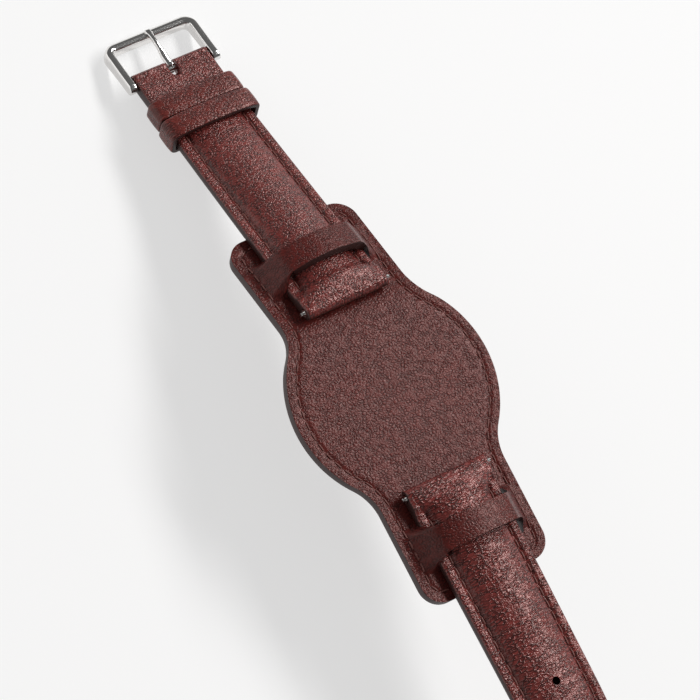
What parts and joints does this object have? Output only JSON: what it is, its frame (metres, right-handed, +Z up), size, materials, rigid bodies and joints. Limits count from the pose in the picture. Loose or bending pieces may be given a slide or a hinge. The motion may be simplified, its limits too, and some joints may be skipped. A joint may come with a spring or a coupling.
{
  "type": "leather watch strap",
  "caption": "Padded leather watch strap on a wide wrist pad with arched bridges, with spring bars, keepers and a pin buckle.",
  "frame": {"origin": "middle of the top face of the wrist pad, where the case sits", "axes": "+X across the strap to the right, +Y towards the buckle, +Z up out of the case seat"},
  "size_m": [0.0504, 0.2366, 0.0381],
  "materials": {
    "top_leather": "pebbled dark red-brown leather, slight gloss",
    "lining_leather": "smooth dark brown lining leather",
    "filler": "bonded leather filler, unfinished",
    "thread": "waxed brown polyester thread",
    "polished_steel": "polished stainless steel"
  },
  "bodies": {
    "pad": {"pad_top_leather": "top_leather", "pad_lining": "lining_leather", "pad_stitching": "thread"},
    "long_strap": {"long_top_leather": "top_leather", "long_filler": "filler", "long_lining": "lining_leather", "long_stitching": "thread"},
    "short_strap": {"short_top_leather": "top_leather", "short_filler": "filler", "short_lining": "lining_leather", "short_stitching": "thread", "fixed_keeper": "top_leather"},
    "floating_keeper": {"floating_keeper": "top_leather"},
    "buckle": {"buckle_frame": "polished_steel", "buckle_bar_tube": "polished_steel", "buckle_bar_spring": "polished_steel"},
    "tongue": {"buckle_tongue": "polished_steel"},
    "short_bar": {"short_bar_tube": "polished_steel", "short_bar_spring": "polished_steel"},
    "long_bar": {"long_bar_tube": "polished_steel", "long_bar_spring": "polished_steel"},
    "short_bar_left_tip": {"short_bar_left_tip": "polished_steel"},
    "short_bar_right_tip": {"short_bar_right_tip": "polished_steel"},
    "long_bar_left_tip": {"long_bar_left_tip": "polished_steel"},
    "long_bar_right_tip": {"long_bar_right_tip": "polished_steel"},
    "buckle_bar_left_tip": {"buckle_bar_left_tip": "polished_steel"},
    "buckle_bar_right_tip": {"buckle_bar_right_tip": "polished_steel"}
  },
  "joints": [
    {"name": "long_strap_slide", "type": "slide", "parent": "pad", "child": "long_strap", "axis": [0, -1, 0], "range_m": [-0.003, 0.003]},
    {"name": "short_strap_slide", "type": "slide", "parent": "pad", "child": "short_strap", "axis": [0, 0.936, -0.352], "range_m": [-0.003, 0.003]},
    {"name": "floating_keeper_slide", "type": "slide", "parent": "short_strap", "child": "floating_keeper", "axis": [0, -0.9398, 0.3418], "range_m": [0, 0.01]},
    {"name": "buckle_hinge", "type": "hinge", "parent": "short_strap", "child": "buckle", "pos_m": [0, 0.09067, -0.02489], "axis": [1, 0, 0], "range_deg": [-80, 45]},
    {"name": "tongue_hinge", "type": "hinge", "parent": "buckle", "child": "tongue", "pos_m": [0, 0.09067, -0.02489], "axis": [1, 0, 0], "range_deg": [0, 75]},
    {"name": "short_bar_spin", "type": "hinge", "parent": "short_strap", "child": "short_bar", "pos_m": [0, 0.02364, -0.0001], "axis": [1, 0, 0], "continuous": true},
    {"name": "long_bar_spin", "type": "hinge", "parent": "long_strap", "child": "long_bar", "pos_m": [0, -0.023, 0.00205], "axis": [1, 0, 0], "continuous": true},
    {"name": "short_bar_left_tip_slide", "type": "slide", "parent": "short_bar", "child": "short_bar_left_tip", "axis": [1, 0, 0], "range_m": [0, 0.0012], "stiffness_N_per_m": 800, "springref_m": -0.001, "deforming": ["short_bar_spring"]},
    {"name": "short_bar_right_tip_slide", "type": "slide", "parent": "short_bar", "child": "short_bar_right_tip", "axis": [-1, 0, 0], "range_m": [0, 0.0012], "stiffness_N_per_m": 800, "springref_m": -0.001, "deforming": ["short_bar_spring"]},
    {"name": "long_bar_left_tip_slide", "type": "slide", "parent": "long_bar", "child": "long_bar_left_tip", "axis": [1, 0, 0], "range_m": [0, 0.0012], "stiffness_N_per_m": 800, "springref_m": -0.001, "deforming": ["long_bar_spring"]},
    {"name": "long_bar_right_tip_slide", "type": "slide", "parent": "long_bar", "child": "long_bar_right_tip", "axis": [-1, 0, 0], "range_m": [0, 0.0012], "stiffness_N_per_m": 800, "springref_m": -0.001, "deforming": ["long_bar_spring"]},
    {"name": "buckle_bar_left_tip_slide", "type": "slide", "parent": "buckle", "child": "buckle_bar_left_tip", "axis": [1, 0, 0], "range_m": [0, 0.0012], "stiffness_N_per_m": 800, "springref_m": -0.001, "deforming": ["buckle_bar_spring"]},
    {"name": "buckle_bar_right_tip_slide", "type": "slide", "parent": "buckle", "child": "buckle_bar_right_tip", "axis": [-1, 0, 0], "range_m": [0, 0.0012], "stiffness_N_per_m": 800, "springref_m": -0.001, "deforming": ["buckle_bar_spring"]}
  ]
}
